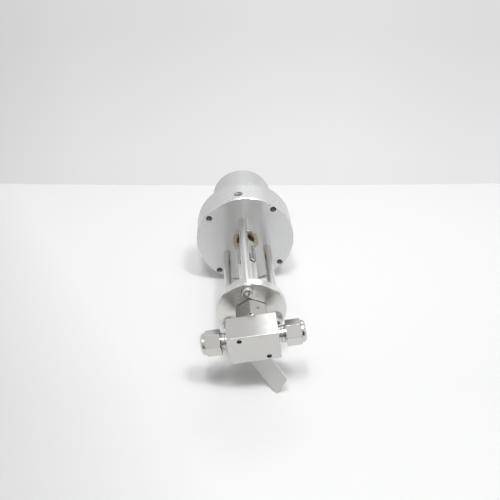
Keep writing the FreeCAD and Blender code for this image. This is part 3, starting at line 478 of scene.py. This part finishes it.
def addTable():
    # a flat top whose colour is painted lighter towards the wall and painted darker to the left: painted
    # light and shade that stand in for how the lamps fall off across it
    r = room
    corners = [(-r["tableSide"], r["tableFront"]), (r["tableSide"], r["tableFront"]),
               (r["tableSide"], r["tableBack"] + r["tableSide"] * r["tableSlope"])]
    for k in range(r["bowSteps"] + 1):
        share = 1.0 - 2.0 * k / r["bowSteps"]
        x = share * r["bowHalf"]
        corners.append((x, r["tableBack"] + x * r["tableSlope"] - r["bow"] * (1.0 - share ** 2)))
    corners.append((-r["tableSide"], r["tableBack"] - r["tableSide"] * r["tableSlope"]))
    mesh = bpy.data.meshes.new("table")
    mesh.from_pydata([(x, y, lie["tableZ"]) for x, y in corners], [], [range(len(corners))])
    table = bpy.data.objects.new("table", mesh)
    bpy.context.scene.collection.objects.link(table)
    material = bpy.data.materials.new("tableTop")
    material.use_nodes = True
    shader = material.node_tree.nodes["Principled BSDF"]
    shader.inputs["Roughness"].default_value = r["tableRough"]
    tree = material.node_tree
    place = addNode(tree, "ShaderNodeTexCoord").outputs["Object"]
    split = addNode(tree, "ShaderNodeSeparateXYZ", {"Vector": place})
    away = addNode(tree, "ShaderNodeMapRange", {"Value": split.outputs["Y"], "From Min": r["tableNear"],
                                                "From Max": r["tableFar"]})
    leftward = vector2(tree, "DOT_PRODUCT", place, r["paintedShadeWay"]).outputs["Value"]
    # painted shade: the table's colour is darkened towards the left
    dim = addNode(tree, "ShaderNodeMapRange", {"Value": leftward, "From Min": r["paintedShadeEnd"],
                                               "From Max": r["paintedShadeStart"], "To Min": r["paintedShadeShare"]})
    color = addNode(tree, "ShaderNodeMix", {"Factor": away.outputs["Result"]}, data_type="RGBA")
    color.inputs["A"].default_value = (*r["tableColor"], 1.0)
    color.inputs["B"].default_value = (*r["tableFarPaintedLight"], 1.0)
    shaded = vector2(tree, "SCALE", color.outputs["Result"])
    tree.links.new(dim.outputs["Result"], shaded.inputs["Scale"])
    tree.links.new(shaded.outputs["Vector"], shader.inputs["Base Color"])
    mesh.materials.append(material)


def addRoomLight():
    # metal sees the whole room, the camera sees the wall, and matt surfaces get the even fill
    world = bpy.data.worlds.new("room")
    bpy.context.scene.world = world
    world.use_nodes = True
    tree = world.node_tree
    tree.nodes.clear()
    r = room
    look = addNode(tree, "ShaderNodeTexCoord").outputs["Generated"]
    split = addNode(tree, "ShaderNodeSeparateXYZ", {"Vector": look})
    across = math2(tree, "MULTIPLY_ADD", split.outputs["X"], 1.0)
    across.node.inputs[2].default_value = 0.5
    # the wall's grey across the view, darkest at the left: painted shade on the backdrop, which metal also
    # mirrors
    ramp = addNode(tree, "ShaderNodeValToRGB", {"Fac": across})
    marks = ramp.color_ramp.elements
    for k, (spot, grey) in enumerate(r["wall"]):
        mark = marks[k] if k < 2 else marks.new(spot)
        mark.position, mark.color = spot, (grey, grey, grey, 1.0)

    def fade(value, between):
        return addNode(tree, "ShaderNodeMapRange",
                       {"Value": value, "From Min": between[0], "From Max": between[1]},
                       interpolation_type="SMOOTHSTEP").outputs["Result"]

    def blend(first, second, share):
        mixed = addNode(tree, "ShaderNodeMix", {"Factor": share}, data_type="RGBA")
        for socket, shade in (("A", first), ("B", second)):
            if isinstance(shade, tuple):
                mixed.inputs[socket].default_value = (*shade, 1.0)
            else:
                tree.links.new(shade, mixed.inputs[socket])
        return mixed.outputs["Result"]

    x, y, z = (split.outputs[name] for name in "XYZ")
    corners = blend(r["leftCorner"], r["rightCorner"], fade(x, r["cornerX"]))
    level = blend(corners, ramp.outputs["Color"], fade(y, r["cornerToWallY"]))
    back = blend(level, r["ceiling"], fade(z, r["wallToCeilingZ"]))
    beside = blend(r["frontLeft"], r["frontRight"], fade(x, r["frontX"]))
    beside = blend(r["cameraSide"], beside, fade(z, r["frontZ"]))
    beside = blend(beside, r["ceiling"], fade(z, r["frontToCeilingZ"]))
    middle = blend(r["cameraSide"], r["aboveCamera"], fade(z, r["cameraZ"]))
    middle = blend(middle, r["ceiling"], fade(z, r["cameraToCeilingZ"]))
    front = blend(middle, beside, fade(math2(tree, "ABSOLUTE", x), r["cameraX"]))
    around = blend(front, back, fade(y, r["frontToBackY"]))
    roomShade = addNode(tree, "ShaderNodeBackground", {"Color": around, "Strength": 1.0})
    fillShade = addNode(tree, "ShaderNodeBackground", {"Color": (*r["fill"], 1.0), "Strength": 1.0})
    # the wall that the camera sees is painted darker towards its top: painted shade on the backdrop
    rising = addNode(tree, "ShaderNodeMapRange", {
        "Value": z, "From Min": r["wallTopZ"][0], "From Max": r["wallTopZ"][1],
        "To Min": 1.0, "To Max": r["wallTop"]})
    wallShade = addNode(tree, "ShaderNodeBackground", {"Color": ramp.outputs["Color"],
                                                       "Strength": rising.outputs["Result"]})
    path = addNode(tree, "ShaderNodeLightPath")
    mirrored = addNode(tree, "ShaderNodeMixShader", {0: path.outputs["Is Glossy Ray"],
                                                     1: fillShade.outputs[0], 2: roomShade.outputs[0]})
    seen = addNode(tree, "ShaderNodeMixShader", {0: path.outputs["Is Camera Ray"],
                                                 1: mirrored.outputs[0], 2: wallShade.outputs[0]})
    addNode(tree, "ShaderNodeOutputWorld", {"Surface": seen.outputs[0]})
    for name, lamp in lamps.items():
        light = bpy.data.lights.new(name, "AREA")
        light.shape = "RECTANGLE"
        light.size, light.size_y = lamp["size"]
        light.energy = lamp["power"]
        holder = bpy.data.objects.new(name, light)
        bpy.context.scene.collection.objects.link(holder)
        holder.location = lamp["place"]
        aim = Vector(lamp["aim"]) - Vector(lamp["place"])
        holder.rotation_euler = aim.to_track_quat("-Z", "Y").to_euler()


camera = {
    "lens": 37.25, "sensor": 36.0, "nearClip": 10 * mm, "place": (-0.0182, -0.2800, 0.2801),
    "right": (0.9986, -0.0528, 0.0), "up": (0.0296, 0.5599, 0.8280),
}


def addCamera():
    c = camera
    data = bpy.data.cameras.new("camera")
    data.lens = c["lens"]
    data.sensor_width = c["sensor"]
    data.clip_start = c["nearClip"]
    holder = bpy.data.objects.new("camera", data)
    bpy.context.scene.collection.objects.link(holder)
    right = Vector(c["right"]).normalized()
    back = right.cross(Vector(c["up"])).normalized()
    turn = Matrix((right, back.cross(right), back)).transposed().to_4x4()
    holder.matrix_world = Matrix.Translation(c["place"]) @ turn
    bpy.context.scene.camera = holder


addTable()
addRoomLight()
addCamera()
bpy.context.scene.view_settings.view_transform = "Standard"
print("room, lamps and camera set")
